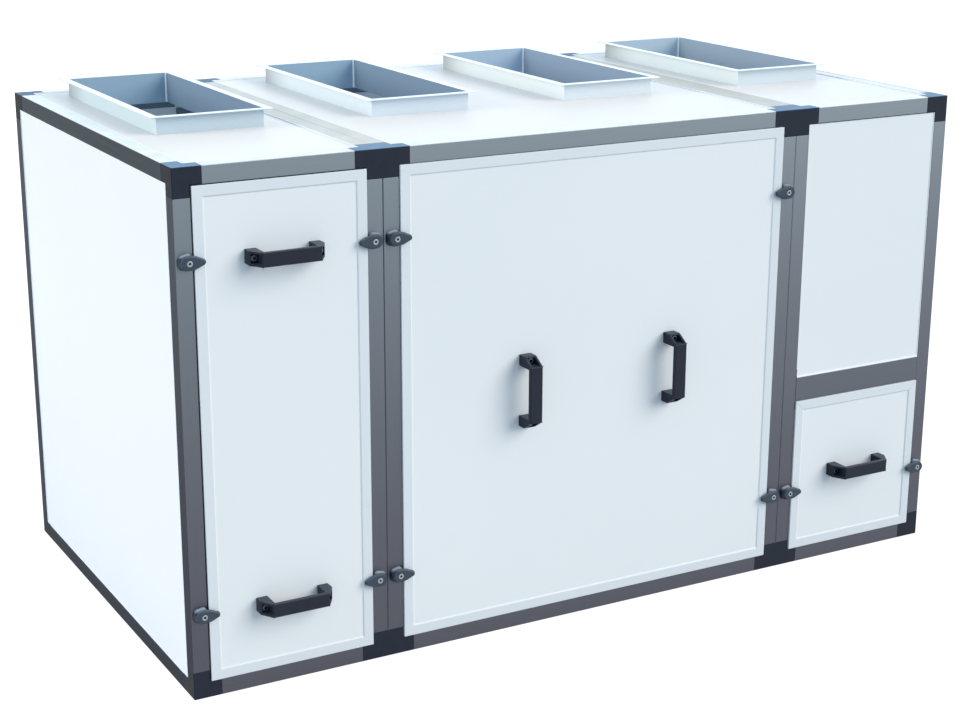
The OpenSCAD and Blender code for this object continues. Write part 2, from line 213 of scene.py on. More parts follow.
# %% Powder coat: slow change of tone and a fine orange-peel texture
coat_group, coat_in, coat_out = new_group(
    "Powder Coat",
    [("Colour", "colour", (0.8, 0.8, 0.8, 1)),
     ("Shade", "colour", (0.7, 0.7, 0.7, 1)),
     ("Peel Scale", "value", 700.0),
     ("Rough Low", "value", 0.4),
     ("Rough High", "value", 0.5)],
    surface_outputs)
point = object_point(coat_group)
cloud = remap(coat_group, noise(coat_group, point, scale=2.2, detail=2, seed=3.1), 0.35, 0.7)
wiped = noise(coat_group, point, scale=38.0, detail=3, seed=7.7)
gloss = remap(coat_group, wiped, 0.3, 0.7, coat_in.outputs["Rough Low"], coat_in.outputs["Rough High"])
peel = noise(coat_group, point, scale=coat_in.outputs["Peel Scale"], detail=1, seed=1.3)
tone = blend(coat_group, cloud, coat_in.outputs["Colour"], coat_in.outputs["Shade"])
for source, label in ((tone, "Colour"), (gloss, "Roughness"), (peel, "Height")):
    coat_group.links.new(source, coat_out.inputs[label])

# %% Drawn metal: long streaks in the direction the profile left the die
drawn_group, drawn_in, drawn_out = new_group(
    "Drawn Lines",
    [("Colour", "colour", (0.5, 0.5, 0.5, 1)),
     ("Streak", "colour", (0.4, 0.4, 0.4, 1)),
     ("Stretch", "vector", (600, 600, 4)),
     ("Rough Low", "value", 0.3),
     ("Rough High", "value", 0.42)],
    surface_outputs)
stretched = drawn_group.nodes.new("ShaderNodeVectorMath")
stretched.operation = "MULTIPLY"
drawn_group.links.new(object_point(drawn_group), stretched.inputs[0])
drawn_group.links.new(drawn_in.outputs["Stretch"], stretched.inputs[1])
streak = noise(drawn_group, stretched.outputs[0], scale=1.0, detail=3, seed=5.2)
streaky = remap(drawn_group, streak, 0.35, 0.7)
tone = blend(drawn_group, streaky, drawn_in.outputs["Colour"], drawn_in.outputs["Streak"])
gloss = remap(drawn_group, streak, 0.3, 0.7, drawn_in.outputs["Rough Low"], drawn_in.outputs["Rough High"])
for source, label in ((tone, "Colour"), (gloss, "Roughness"), (streak, "Height")):
    drawn_group.links.new(source, drawn_out.inputs[label])

# %% Moulded grain: the etched skin of nylon blocks, handles and latches
grain_group, grain_in, grain_out = new_group(
    "Moulded Grain",
    [("Colour", "colour", (0.03, 0.03, 0.04, 1)),
     ("Bloom", "colour", (0.04, 0.05, 0.06, 1)),
     ("Grain Scale", "value", 1500.0),
     ("Rough Low", "value", 0.35),
     ("Rough High", "value", 0.5)],
    surface_outputs)
point = object_point(grain_group)
grain = noise(grain_group, point, scale=grain_in.outputs["Grain Scale"], detail=2, seed=2.4)
bloom = remap(grain_group, noise(grain_group, point, scale=45.0, detail=3, seed=8.8), 0.35, 0.75)
tone = blend(grain_group, bloom, grain_in.outputs["Colour"], grain_in.outputs["Bloom"])
gloss = remap(grain_group, bloom, 0.0, 1.0, grain_in.outputs["Rough Low"], grain_in.outputs["Rough High"])
for source, label in ((tone, "Colour"), (gloss, "Roughness"), (grain, "Height")):
    grain_group.links.new(source, grain_out.inputs[label])

# %% Painted top sheen: a painted highlight and reflection on the faces that look up, a little patchy
top_sheen_group, top_sheen_in, top_sheen_out = new_group(
    "Painted Top Sheen",
    [("Colour", "colour", (0.1, 0.1, 0.1, 1)),
     ("Sheen", "colour", (0.6, 0.65, 0.7, 1)),
     ("Amount", "value", 0.5)],
    [("Colour", "colour"), ("Mask", "value")])
facing = top_sheen_group.nodes.new("ShaderNodeSeparateXYZ")
top_sheen_group.links.new(top_sheen_group.nodes.new("ShaderNodeNewGeometry").outputs["Normal"], facing.inputs[0])
# painted sheen: faces that look up are painted towards the sheen colour
upward = remap(top_sheen_group, facing.outputs["Z"], 0.45, 0.95)
patchy = noise(top_sheen_group, object_point(top_sheen_group), scale=24.0, detail=3, seed=4.6)
uneven = remap(top_sheen_group, patchy, 0.25, 0.75, 0.8, 1.0)
sheen_share = times(top_sheen_group, times(top_sheen_group, upward, uneven), top_sheen_in.outputs["Amount"])
tone = blend(top_sheen_group, sheen_share, top_sheen_in.outputs["Colour"], top_sheen_in.outputs["Sheen"])
top_sheen_group.links.new(tone, top_sheen_out.inputs["Colour"])
top_sheen_group.links.new(sheen_share, top_sheen_out.inputs["Mask"])

# %% Tone ramp: a tone that changes steadily along one direction
ramp_group, ramp_in, ramp_out = new_group(
    "Tone Ramp",
    [("Colour", "colour", (0.5, 0.5, 0.5, 1)),
     ("Start Tint", "colour", (1, 1, 1, 1)),
     ("End Tint", "colour", (1, 1, 1, 1)),
     ("Way", "vector", (0, 0, 1)),
     ("Start", "value", 0.0),
     ("End", "value", 1.0),
     ("Power", "value", 1.0)],
    [("Colour", "colour")])
along = ramp_group.nodes.new("ShaderNodeVectorMath")
along.operation = "DOT_PRODUCT"
ramp_group.links.new(object_point(ramp_group), along.inputs[0])
ramp_group.links.new(ramp_in.outputs["Way"], along.inputs[1])
straight = remap(ramp_group, along.outputs["Value"], ramp_in.outputs["Start"], ramp_in.outputs["End"])
bent = ramp_group.nodes.new("ShaderNodeMath")
bent.operation = "POWER"
ramp_group.links.new(straight, bent.inputs[0])
ramp_group.links.new(ramp_in.outputs["Power"], bent.inputs[1])
tint = blend(ramp_group, bent.outputs[0], ramp_in.outputs["Start Tint"], ramp_in.outputs["End Tint"])
ramp_group.links.new(multiply(ramp_group, ramp_in.outputs["Colour"], tint), ramp_out.inputs["Colour"])

# %% Facing tint: another tone on the faces that look one way
facing_group, facing_in, facing_out = new_group(
    "Facing Tint",
    [("Colour", "colour", (0.5, 0.5, 0.5, 1)),
     ("Tint", "colour", (0.5, 0.5, 0.5, 1)),
     ("Way", "vector", (-1, 0, 0)),
     ("From", "value", 0.5),
     ("To", "value", 0.9)],
    [("Colour", "colour")])
turned = facing_group.nodes.new("ShaderNodeVectorMath")
turned.operation = "DOT_PRODUCT"
facing_group.links.new(facing_group.nodes.new("ShaderNodeNewGeometry").outputs["Normal"], turned.inputs[0])
facing_group.links.new(facing_in.outputs["Way"], turned.inputs[1])
share = remap(facing_group, turned.outputs["Value"], facing_in.outputs["From"], facing_in.outputs["To"])
toned = multiply(facing_group, facing_in.outputs["Colour"], facing_in.outputs["Tint"])
tone = blend(facing_group, share, facing_in.outputs["Colour"], toned)
facing_group.links.new(tone, facing_out.inputs["Colour"])

# %% Inner skin: tells the inside of an open box from its outside
skin_group, skin_in, skin_out = new_group(
    "Inner Skin",
    [("Colour", "colour", (0.7, 0.7, 0.7, 1)),
     ("Inside", "colour", (0.3, 0.4, 0.5, 1)),
     ("Middle", "vector", (0, 0, 0))],
    [("Colour", "colour")])
from_middle = skin_group.nodes.new("ShaderNodeVectorMath")
from_middle.operation = "SUBTRACT"
skin_group.links.new(object_point(skin_group), from_middle.inputs[0])
skin_group.links.new(skin_in.outputs["Middle"], from_middle.inputs[1])
level = skin_group.nodes.new("ShaderNodeVectorMath")
level.operation = "MULTIPLY"
level.inputs[1].default_value = (1, 1, 0)
skin_group.links.new(from_middle.outputs[0], level.inputs[0])
outward = skin_group.nodes.new("ShaderNodeVectorMath")
outward.operation = "DOT_PRODUCT"
skin_group.links.new(level.outputs[0], outward.inputs[0])
skin_group.links.new(skin_group.nodes.new("ShaderNodeNewGeometry").outputs["True Normal"], outward.inputs[1])
inside_from, inside_full = -0.02, -0.04
inside = remap(skin_group, outward.outputs["Value"], inside_from, inside_full)
tone = blend(skin_group, inside, skin_in.outputs["Colour"], skin_in.outputs["Inside"])
skin_group.links.new(tone, skin_out.inputs["Colour"])

# %% Raised border: a door's rim stands in front of its field and is a shade darker
rim_group, rim_in, rim_out = new_group(
    "Raised Border",
    [("Colour", "colour", (0.7, 0.7, 0.7, 1)),
     ("Border", "colour", (0.6, 0.6, 0.6, 1)),
     ("Field Depth", "value", -0.445),
     ("Border Depth", "value", -0.447)],
    [("Colour", "colour")])
place = rim_group.nodes.new("ShaderNodeSeparateXYZ")
rim_group.links.new(object_point(rim_group), place.inputs[0])
raised = remap(rim_group, place.outputs["Y"], rim_in.outputs["Field Depth"], rim_in.outputs["Border Depth"])
tone = blend(rim_group, raised, rim_in.outputs["Colour"], rim_in.outputs["Border"])
rim_group.links.new(tone, rim_out.inputs["Colour"])

# %% [markdown]
# ## The finishes
# Every material starts from one Principled shader. A value that is the same everywhere is set on the shader, and a
# value that changes over the surface comes from the groups above. The first group gives colour, roughness and relief.
# Each further layer takes the colour of the one before it and passes it on.

# %% Build a material from groups
relief_depth = 0.0004


def rgb(r, g, b):
    return (r, g, b, 1.0)


def new_finish(name, group, settings, layers=(), bump=0.1, metal=0.0, specular=0.5, edge=(1.0, 1.0, 1.0)):
    material = bpy.data.materials.new(name)
    material.use_nodes = True
    tree = material.node_tree
    shader = tree.nodes["Principled BSDF"]
    shader.inputs["Specular IOR Level"].default_value = specular
    shader.inputs["Specular Tint"].default_value = rgb(*edge)
    shader.inputs["Metallic"].default_value = metal
    base = tree.nodes.new("ShaderNodeGroup")
    base.node_tree = group
    for label, value in settings.items():
        base.inputs[label].default_value = value
    colour = base.outputs["Colour"]
    for extra, extra_settings in layers:
        layer = tree.nodes.new("ShaderNodeGroup")
        layer.node_tree = extra
        for label, value in extra_settings.items():
            layer.inputs[label].default_value = value
        tree.links.new(colour, layer.inputs["Colour"])
        colour = layer.outputs["Colour"]
        # where the painted sheen covers a metal, the metal is turned off
        if metal and extra == top_sheen_group:
            bare = remap(tree, layer.outputs["Mask"], 0.0, 1.0, metal, 0.0)
            tree.links.new(bare, shader.inputs["Metallic"])
    tree.links.new(colour, shader.inputs["Base Color"])
    tree.links.new(base.outputs["Roughness"], shader.inputs["Roughness"])
    relief = tree.nodes.new("ShaderNodeBump")
    relief.inputs["Strength"].default_value = bump
    relief.inputs["Distance"].default_value = relief_depth
    tree.links.new(base.outputs["Height"], relief.inputs["Height"])
    tree.links.new(relief.outputs["Normal"], shader.inputs["Normal"])
    print("finish:", name, "with", len(layers), "layers")
    return material


# %% [markdown]
# ### Painted sheet
# Doors, panels and roof are powder-coated steel: white, half matt, with a faint orange-peel texture. The white is
# given as separate copies for the front, the sides and the roof, and their differences are painted light: the front is
# a cooler white, the sides get a painted ramp that is lighter towards the floor, and the roof is a warmer white. A
# door's border is a fold that stands in front of the pressed field, so its darker shade can be picked by depth, with
# no second material.

# %% Paint for doors, panels and roof
def paint(name, colour, shade, low=0.42, high=0.5, layers=(), specular=0.2):
    settings = {"Colour": rgb(*colour), "Shade": rgb(*shade), "Rough Low": low, "Rough High": high}
    return new_finish(name, coat_group, settings, layers, bump=0.04, specular=specular)


# painted light: the front, side and roof whites are copies of one white paint, tinted apart to how each face is lit
front_white, front_shade = (0.75, 0.813, 0.863), (0.735, 0.80, 0.852)
door_border = {"Border": rgb(0.67, 0.74, 0.80)}
# painted light: the side panels are painted lighter near the floor and a little darker at the top
side_painted_light = {"Start Tint": rgb(1.07, 1.07, 1.06), "End Tint": rgb(0.98, 0.98, 0.98), "Power": 2.0}
door_paint = paint("door_paint_white", front_white, front_shade, layers=[(rim_group, door_border)])
front_paint = paint("front_panel_white", front_white, front_shade)
panel_paint = paint("panel_paint_white", (0.774, 0.783, 0.826), (0.76, 0.77, 0.816),
                    layers=[(ramp_group, side_painted_light)], specular=0.1)
roof_paint = paint("roof_paint_white", (0.78, 0.768, 0.765), (0.77, 0.758, 0.755), specular=0.12)
sealant = paint("sealant_pale", (0.84, 0.88, 0.91), (0.80, 0.85, 0.89), low=0.45, high=0.55)

# %% [markdown]
# ### Duct collars
# A collar is a short open duct folded from thin sheet, with a flat flange on top. Its inside is painted a deeper
# blue-grey than its outside as painted shade, and no two collars are quite alike. The sheet is one closed solid, so
# the
# Inner Skin group asks which way a face looks from the collar's middle. Layers of tint paint light and shade: painted
# light on the walls that look left, painted shade on the folded corners, towards the back end and again on all faces
# that look left, and a painted white highlight on the flange.

# %% Collars: pale outside, blue-grey painted shade inside, painted white highlight on the flange
# each collar: outside colour, then inside colour; the darker inside colour is painted shade
collar_tone = {
    "collar_a": ((0.484, 0.598, 0.675), (0.270, 0.40, 0.52)),
    "collar_b": ((0.594, 0.695, 0.785), (0.283, 0.412, 0.53)),
    "collar_c": ((0.64, 0.728, 0.792), (0.382, 0.513, 0.637)),
    "collar_d": ((0.622, 0.718, 0.785), (0.43, 0.553, 0.655)),
}
fade_length, fade_end, shade_share = 0.15, 0.01, 0.96
# painted shade for the folded corners, so that they catch no bright line
fold_shade_tint = rgb(0.72, 0.74, 0.76)
# painted light: walls that look left are painted lighter
lit_left = {"Tint": rgb(1.64, 1.62, 1.46), "Way": (-1, 0, 0), "From": 0.8, "To": 0.95}
left_fold_shade = {"Tint": fold_shade_tint, "Way": (-0.707, -0.707, 0), "From": 0.8, "To": 0.92}
right_fold_shade = {"Tint": fold_shade_tint, "Way": (0.707, -0.707, 0), "From": 0.8, "To": 0.92}
# painted shade: once the inside is picked, all faces that look left are painted darker
shaded_right = {"Tint": rgb(0.77, 0.71, 0.70), "Way": (-1, 0, 0), "From": 0.8, "To": 0.95}
# painted highlight: the flange's top is painted white
flange_highlight = {"Sheen": rgb(0.86, 0.91, 0.93), "Amount": 1.0}
collar_paint = {}
for name, (outer, inner) in collar_tone.items():
    low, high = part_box(name)
    middle = [(a + b) / 2 for a, b in zip(low, high)]
    # painted shade: each collar is painted darker towards its back end
    back_end_shade = {"Way": (0, 1, 0), "Start": high[1] - fade_length, "End": high[1] - fade_end,
                "End Tint": rgb(0.5, 0.5, 0.5), "Power": 2.0}
    inner_skin = {"Inside": rgb(*inner), "Middle": middle}
    layers = [(ramp_group, back_end_shade), (facing_group, lit_left), (facing_group, left_fold_shade), (facing_group, right_fold_shade),
              (skin_group, inner_skin), (facing_group, shaded_right), (top_sheen_group, flange_highlight)]
    shade = [shade_share * part for part in outer]
    collar_paint[name] = paint(name + "_paint", outer, shade, low=0.36, high=0.46, layers=layers)

# %% [markdown]
# ### Aluminium
# The profiles are pressed through a die and anodised, so they are true metal with fine streaks along their length.
# Three finishes turn the streaks along the posts, along the front and along the depth. A metal shows what stands
# around it, and here that is painted into the colour: a painted reflection makes the tone fall off towards the floor
# and change across the width, and painted shade darkens the faces that look left. The rails' upper faces carry a
# painted sheen that hides the metal.

# %% Aluminium, drawn along three directions
case_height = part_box("front_rails")[1][2]
half_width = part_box("corner_blocks")[1][0]


def profile_metal(name, stretch, sheen, amount=1.0, painted_far_tint=(1.0, 1.0, 1.0), far_start=-half_width,
                  left_shade_tint=(0.475, 0.43, 0.395)):
    drawn = {"Colour": rgb(0.1425, 0.172, 0.20), "Streak": rgb(0.137, 0.165, 0.192), "Stretch": stretch,
             "Rough Low": 0.40, "Rough High": 0.46}
    # painted reflection: the metal is painted darker towards the floor and lighter at the top
    painted_floor_reflection = {"Start Tint": rgb(0.61, 0.53, 0.565), "End Tint": rgb(1.22, 1.26, 1.27),
                 "End": case_height, "Power": 1.75}
    # painted reflection: the tone changes across the width, towards the right side
    painted_width_ramp = {"End Tint": rgb(*painted_far_tint), "Way": (1, 0, 0), "Start": far_start, "End": half_width}
    # painted shade on faces that look left, painted sheen on faces that look up
    layers = [(ramp_group, painted_floor_reflection), (facing_group, {"Tint": rgb(*left_shade_tint), "Way": (-1, 0, 0)}),
              (top_sheen_group, {"Sheen": rgb(*sheen), "Amount": amount}), (ramp_group, painted_width_ramp)]
    return new_finish(name, drawn_group, drawn, layers, bump=0.02, metal=1.0, specular=0.1, edge=(0.58, 0.61, 0.67))


# painted sheen on the rails' upper faces
rail_sheen = (0.79, 0.83, 0.85)
# painted shade: the rightmost strip of the side rails is painted darker
far_shade_width = 0.014
upright_metal = profile_metal("aluminium_upright", stretch=(500, 500, 6), sheen=(0.8, 0.85, 0.88), amount=0.3,
                              painted_far_tint=(1.12, 1.10, 1.10))
across_metal = profile_metal("aluminium_across", stretch=(6, 500, 500), sheen=rail_sheen, painted_far_tint=(1.10, 1.10, 1.09))
deep_metal = profile_metal("aluminium_deep", stretch=(500, 6, 500), sheen=rail_sheen, painted_far_tint=(0.60, 0.58, 0.56),
                           far_start=half_width - far_shade_width, left_shade_tint=(0.39, 0.356, 0.304))
seam_metal = profile_metal("aluminium_seam", stretch=(500, 6, 500), sheen=(0.625, 0.613, 0.568),
                           painted_far_tint=(0.86, 0.85, 0.84))
print("case height and half width:", round(case_height, 4), round(half_width, 4))

# %% [markdown]
# ### Nylon, plastic, rubber and steel
# Blocks, handles and latches are moulded: nearly black, a little blue, with an etched skin. Their upper faces carry a
# painted sheen, and on the blocks' tops it is a much lighter, bluish painted reflection. The blocks also get painted
# shade on the faces that look left and towards the back. Screws are metal, and a ramp along their depth darkens the
# socket as painted shade.

# %% Moulded pieces
def moulded(name, colour, bloom, low, high, sheen, amount, specular=0.16, layers=(), after=()):
    settings = {"Colour": rgb(*colour), "Bloom": rgb(*bloom), "Rough Low": low, "Rough High": high}
    layers_with_sheen = [*layers, (top_sheen_group, {"Sheen": rgb(*sheen), "Amount": amount}), *after]
    return new_finish(name, grain_group, settings, layers_with_sheen, bump=0.08, specular=specular)


# painted shade on the blocks' faces that look left
block_left_shade = {"Tint": rgb(0.3, 0.32, 0.35), "Way": (-1, 0, 0)}
# painted shade: the blocks are painted darker towards the back
back_block_shade = {"Way": (0, 1, 0), "Start": 0.2, "End": 0.38, "End Tint": rgb(0.52, 0.58, 0.64)}
towards_floor = {"Start Tint": rgb(1.9, 1.8, 1.8), "End Tint": rgb(0.9, 0.9, 0.9)}
# the strip cords copy the painted sheen colour of the seam strips' tops
strip_sheen_tone, line_tone = (0.635, 0.627, 0.588), (0.30, 0.34, 0.38)
# painted light: each film below is a painted sheen on faces that look up; bluish painted reflection on the blocks,
# painted highlight on the latch feet
block_nylon = moulded("block_nylon_navy", (0.0175, 0.0235, 0.037), (0.0205, 0.0265, 0.043), low=0.50, high=0.58,
                      sheen=(0.149, 0.262, 0.415), amount=0.95, specular=0.1,
                      layers=[(facing_group, block_left_shade)], after=[(ramp_group, back_block_shade)])
handle_plastic = moulded("handle_plastic_black", (0.0125, 0.0175, 0.030), (0.0155, 0.0205, 0.035), low=0.34, high=0.42,
                         sheen=(0.05, 0.07, 0.095), amount=0.6)
latch_plastic = moulded("latch_plastic_slate", (0.037, 0.055, 0.082), (0.042, 0.062, 0.091), low=0.34, high=0.42,
                        sheen=(0.12, 0.16, 0.21), amount=0.6, specular=0.22)
base_plastic = moulded("latch_base_slate", (0.020, 0.028, 0.046), (0.026, 0.036, 0.056), low=0.30, high=0.38,
                       sheen=(0.34, 0.40, 0.49), amount=1.0, specular=0.28)
# the same black serves the real door seals and the painted gap shadows
seal_rubber = moulded("seal_rubber_and_gap_shadow_black", (0.018, 0.020, 0.024), (0.022, 0.024, 0.028), low=0.7, high=0.85,
                      sheen=(0.05, 0.05, 0.05), amount=0.3)
cord_rubber = moulded("seam_cord_grey", (0.10, 0.11, 0.13), (0.11, 0.12, 0.14), low=0.6, high=0.7,
                      sheen=(0.66, 0.69, 0.67), amount=1.0, layers=[(ramp_group, towards_floor)])
strip_cord = moulded("seam_cord_strip", strip_sheen_tone, (0.625, 0.617, 0.578), low=0.6, high=0.7,
                     sheen=strip_sheen_tone, amount=1.0)
line_shade = moulded("joint_line_grey", line_tone, (0.34, 0.38, 0.42), low=0.6, high=0.7, sheen=line_tone, amount=0.0)


# %% Screws
def screw_finish(name, colour, low, high, face, socket_shade_tint):
    streak = [0.85 * part for part in colour]
    settings = {"Colour": rgb(*colour), "Streak": rgb(*streak), "Stretch": (900, 900, 900),
                "Rough Low": low, "Rough High": high}
    # painted shade: the socket and the sides of the head are darkened with depth
    socket = {"Way": (0, 1, 0), "Start": face + 0.0002, "End": face + 0.0007, "End Tint": rgb(*socket_shade_tint)}
    return new_finish(name, drawn_group, settings, [(ramp_group, socket)], bump=0.02, metal=1.0)


pocket_floor = -0.461
cap_seat = pocket_floor + 0.0003
cap_height = 0.005
latch_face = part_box("latch_screws")[0][1]
screw_steel = screw_finish("latch_screw_steel", (0.34, 0.38, 0.43), low=0.26, high=0.36,
                           face=latch_face, socket_shade_tint=(0.10, 0.11, 0.13))
cap_steel = screw_finish("cap_screw_zinc", (0.12, 0.147, 0.186), low=0.34, high=0.44,
                         face=cap_seat - cap_height, socket_shade_tint=(0.3, 0.3, 0.32))
print("latch screw faces at", round(latch_face, 5))

# %% Give every node its finish
def finish_for(name):
    if name.endswith("blocks"):
        return block_nylon
    if name.endswith("posts"):
        return upright_metal
    if name == "seam_rails":
        return seam_metal
    if name == "side_rails":
        return deep_metal
    if name in ("front_rails", "back_rails", "mid_rail"):
        return across_metal
    if name.startswith("roof"):
        return roof_paint
    if name == "door_seals":
        return seal_rubber
    if name.startswith("door"):
        return door_paint
    if name.startswith("collar"):
        return collar_paint[name]
    if name.startswith("handle"):
        return handle_plastic
    if name == "latch_screws":
        return screw_steel
    if name == "latch_bases":
        return base_plastic
    if name.startswith("latch"):
        return latch_plastic
    if name == "upper_front_panel":
        return front_paint
    return panel_paint


for name, piece in nodes.items():
    piece.material_slots[0].material = finish_for(name)
print("finishes in use:", sorted({finish_for(name).name for name in nodes}))

# %% [markdown]
# ## Handle screws
# Each bridge handle is held by two socket-head cap screws at the bottom of its open ends. They repeat ten times, so
# a Geometry Nodes tree makes one head, a short cylinder with a chamfered rim and a six-sided socket, and places it on
# ten points. The screw's sizes are the tree's inputs.

# %% Cap screw tree
screw_tree, way_in, way_out = new_tree("Cap Screws")
for label in ("Head Radius", "Head Height", "Chamfer", "Socket Radius", "Socket Depth"):
    screw_tree.interface.new_socket(label, in_out="INPUT", socket_type="NodeSocketFloat")
screw_tree.interface.new_socket("Finish", in_out="INPUT", socket_type="NodeSocketMaterial")
add = screw_tree.nodes.new
join = screw_tree.links.new


def maths(operation, a, b):
    step = add("ShaderNodeMath")
    step.operation = operation
    for place, value in enumerate((a, b)):
        if isinstance(value, (int, float)):
            step.inputs[place].default_value = value
        else:
            join(value, step.inputs[place])
    return step.outputs[0]


disc = add("GeometryNodeMeshCircle")
disc.fill_type = "NGON"
disc.inputs["Vertices"].default_value = 32
join(way_in.outputs["Head Radius"], disc.inputs["Radius"])
wall = add("GeometryNodeExtrudeMesh")
wall.inputs["Individual"].default_value = False
join(disc.outputs["Mesh"], wall.inputs["Mesh"])
join(maths("SUBTRACT", way_in.outputs["Head Height"], way_in.outputs["Chamfer"]), wall.inputs["Offset Scale"])
rim = add("GeometryNodeExtrudeMesh")
rim.inputs["Individual"].default_value = False
join(wall.outputs["Mesh"], rim.inputs["Mesh"])
join(wall.outputs["Top"], rim.inputs["Selection"])
join(way_in.outputs["Chamfer"], rim.inputs["Offset Scale"])
narrow = add("GeometryNodeScaleElements")
join(rim.outputs["Mesh"], narrow.inputs["Geometry"])
join(rim.outputs["Top"], narrow.inputs["Selection"])
slope = maths("DIVIDE", way_in.outputs["Chamfer"], way_in.outputs["Head Radius"])
join(maths("SUBTRACT", 1.0, slope), narrow.inputs["Scale"])
key_hole = add("GeometryNodeMeshCylinder")
key_hole.inputs["Vertices"].default_value = 6
join(way_in.outputs["Socket Radius"], key_hole.inputs["Radius"])
join(maths("MULTIPLY", way_in.outputs["Socket Depth"], 2.0), key_hole.inputs["Depth"])
lift = add("GeometryNodeTransform")
height = add("ShaderNodeCombineXYZ")
join(way_in.outputs["Head Height"], height.inputs["Z"])
join(height.outputs[0], lift.inputs["Translation"])
join(key_hole.outputs["Mesh"], lift.inputs["Geometry"])
cut = add("GeometryNodeMeshBoolean")
cut.operation = "DIFFERENCE"
join(narrow.outputs["Geometry"], cut.inputs["Mesh 1"])
join(lift.outputs["Geometry"], cut.inputs["Mesh 2"])
place_on = add("GeometryNodeInstanceOnPoints")
place_on.inputs["Rotation"].default_value = (math.radians(90), 0, 0)
join(way_in.outputs["Geometry"], place_on.inputs["Points"])
join(cut.outputs["Mesh"], place_on.inputs["Instance"])
real = add("GeometryNodeRealizeInstances")
join(place_on.outputs["Instances"], real.inputs["Geometry"])
coat = add("GeometryNodeSetMaterial")
join(real.outputs["Geometry"], coat.inputs["Geometry"])
join(way_in.outputs["Finish"], coat.inputs["Material"])
join(coat.outputs["Geometry"], way_out.inputs["Geometry"])


# %% Turn a tree's result into a plain mesh
def mesh_from_tree(name, tree, points, edges, values):
    start = bpy.data.meshes.new(name + "_points")
    start.from_pydata(points, edges, [])
    carrier = bpy.data.objects.new(name + "_carrier", start)
    bpy.context.collection.objects.link(carrier)
    modifier = carrier.modifiers.new("Tree", "NODES")
    modifier.node_group = tree
    for item in tree.interface.items_tree:
        if item.item_type == "SOCKET" and item.in_out == "INPUT" and item.name in values:
            modifier[item.identifier] = values[item.name]
    bpy.context.view_layer.update()
    made = carrier.evaluated_get(bpy.context.evaluated_depsgraph_get())
    mesh = bpy.data.meshes.new_from_object(made)
    bpy.data.objects.remove(carrier)
    piece = bpy.data.objects.new(name, mesh)
    bpy.context.collection.objects.link(piece)
    return piece


# %% Place the ten screws
screw_reach = 0.0585
screw_points = []
for name in (n for n in nodes if n.startswith("handle")):
    low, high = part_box(name)
    centre = [(a + b) / 2 for a, b in zip(low, high)]
    upright = high[2] - low[2] > high[0] - low[0]
    for side in (-1, 1):
        shift = (0, 0, side * screw_reach) if upright else (side * screw_reach, 0, 0)
        screw_points.append((centre[0] + shift[0], cap_seat, centre[2] + shift[2]))
screw_sizes = {"Head Radius": 0.0056, "Head Height": cap_height, "Chamfer": 0.0006, "Socket Radius": 0.0032,
               "Socket Depth": 0.003, "Finish": cap_steel}
cap_screws = mesh_from_tree("handle_cap_screws", screw_tree, screw_points, [], screw_sizes)
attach(cap_screws, "case")
print("cap screws:", len(screw_points), "faces:", len(cap_screws.data.polygons))

# %% [markdown]
# ## Beads, cords, painted gap shadows and joint lines
# Joints between sheets are closed with sealant, a foam cord fills the gap between two bolted modules, and a black
# line swept into the open gap where a door or panel sits a little low is a painted shadow. All of these are a small
# circle swept along lines, so one tree makes them: the lines and the circle's radius are its inputs.

# %% Bead tree
bead_tree, way_in, way_out = new_tree("Swept Beads")
bead_tree.interface.new_socket("Bead Radius", in_out="INPUT", socket_type="NodeSocketFloat")
bead_tree.interface.new_socket("Finish", in_out="INPUT", socket_type="NodeSocketMaterial")
path = bead_tree.nodes.new("GeometryNodeMeshToCurve")
ring = bead_tree.nodes.new("GeometryNodeCurvePrimitiveCircle")
ring.inputs["Resolution"].default_value = 12
sweep = bead_tree.nodes.new("GeometryNodeCurveToMesh")
sweep.inputs["Fill Caps"].default_value = True
real = bead_tree.nodes.new("GeometryNodeRealizeInstances")
coat = bead_tree.nodes.new("GeometryNodeSetMaterial")
for a, b in ((way_in.outputs["Geometry"], path.inputs["Mesh"]),
             (way_in.outputs["Bead Radius"], ring.inputs["Radius"]),
             (path.outputs["Curve"], sweep.inputs["Curve"]),
             (ring.outputs["Curve"], sweep.inputs["Profile Curve"]),
             (sweep.outputs["Mesh"], real.inputs["Geometry"]),
             (real.outputs["Geometry"], coat.inputs["Geometry"]),
             (way_in.outputs["Finish"], coat.inputs["Material"]),
             (coat.outputs["Geometry"], way_out.inputs["Geometry"])):
    bead_tree.links.new(a, b)


def sweep_lines(name, lines, radius, finish):
    points, edges, start = [], [], 0
    for line in lines:
        closed = line[0] == line[-1]
        kept = len(line) - 1 if closed else len(line)
        points += line[:kept]
        edges += [(start + i, start + (i + 1) % kept) for i in range(len(line) - 1)]
        start += kept
    piece = mesh_from_tree(name, bead_tree, points, edges, {"Bead Radius": radius, "Finish": finish})
    for face in piece.data.polygons:
        face.use_smooth = len(face.vertices) == 4
    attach(piece, "case")
    print(name, len(lines), "lines,", len(piece.data.polygons), "faces")


# %% Sealed corners in the collars
bead_radius = 0.0022
flange = 0.014
sheet = 0.001
sunk_share = 0.62
inset = flange + sheet + bead_radius * sunk_share
foot_gap, rim_gap = 0.001, 0.0006
collar_corners = []
for name in (n for n in nodes if n.startswith("collar")):
    low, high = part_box(name)
    for x in (low[0] + inset, high[0] - inset):
        for y in (low[1] + inset, high[1] - inset):
            collar_corners.append([(x, y, low[2] + foot_gap), (x, y, high[2] - rim_gap)])
sweep_lines("collar_corner_beads", collar_corners, bead_radius, sealant)

# %% Sealed edges of the roof
def loop(corners):
    return corners + corners[:1]


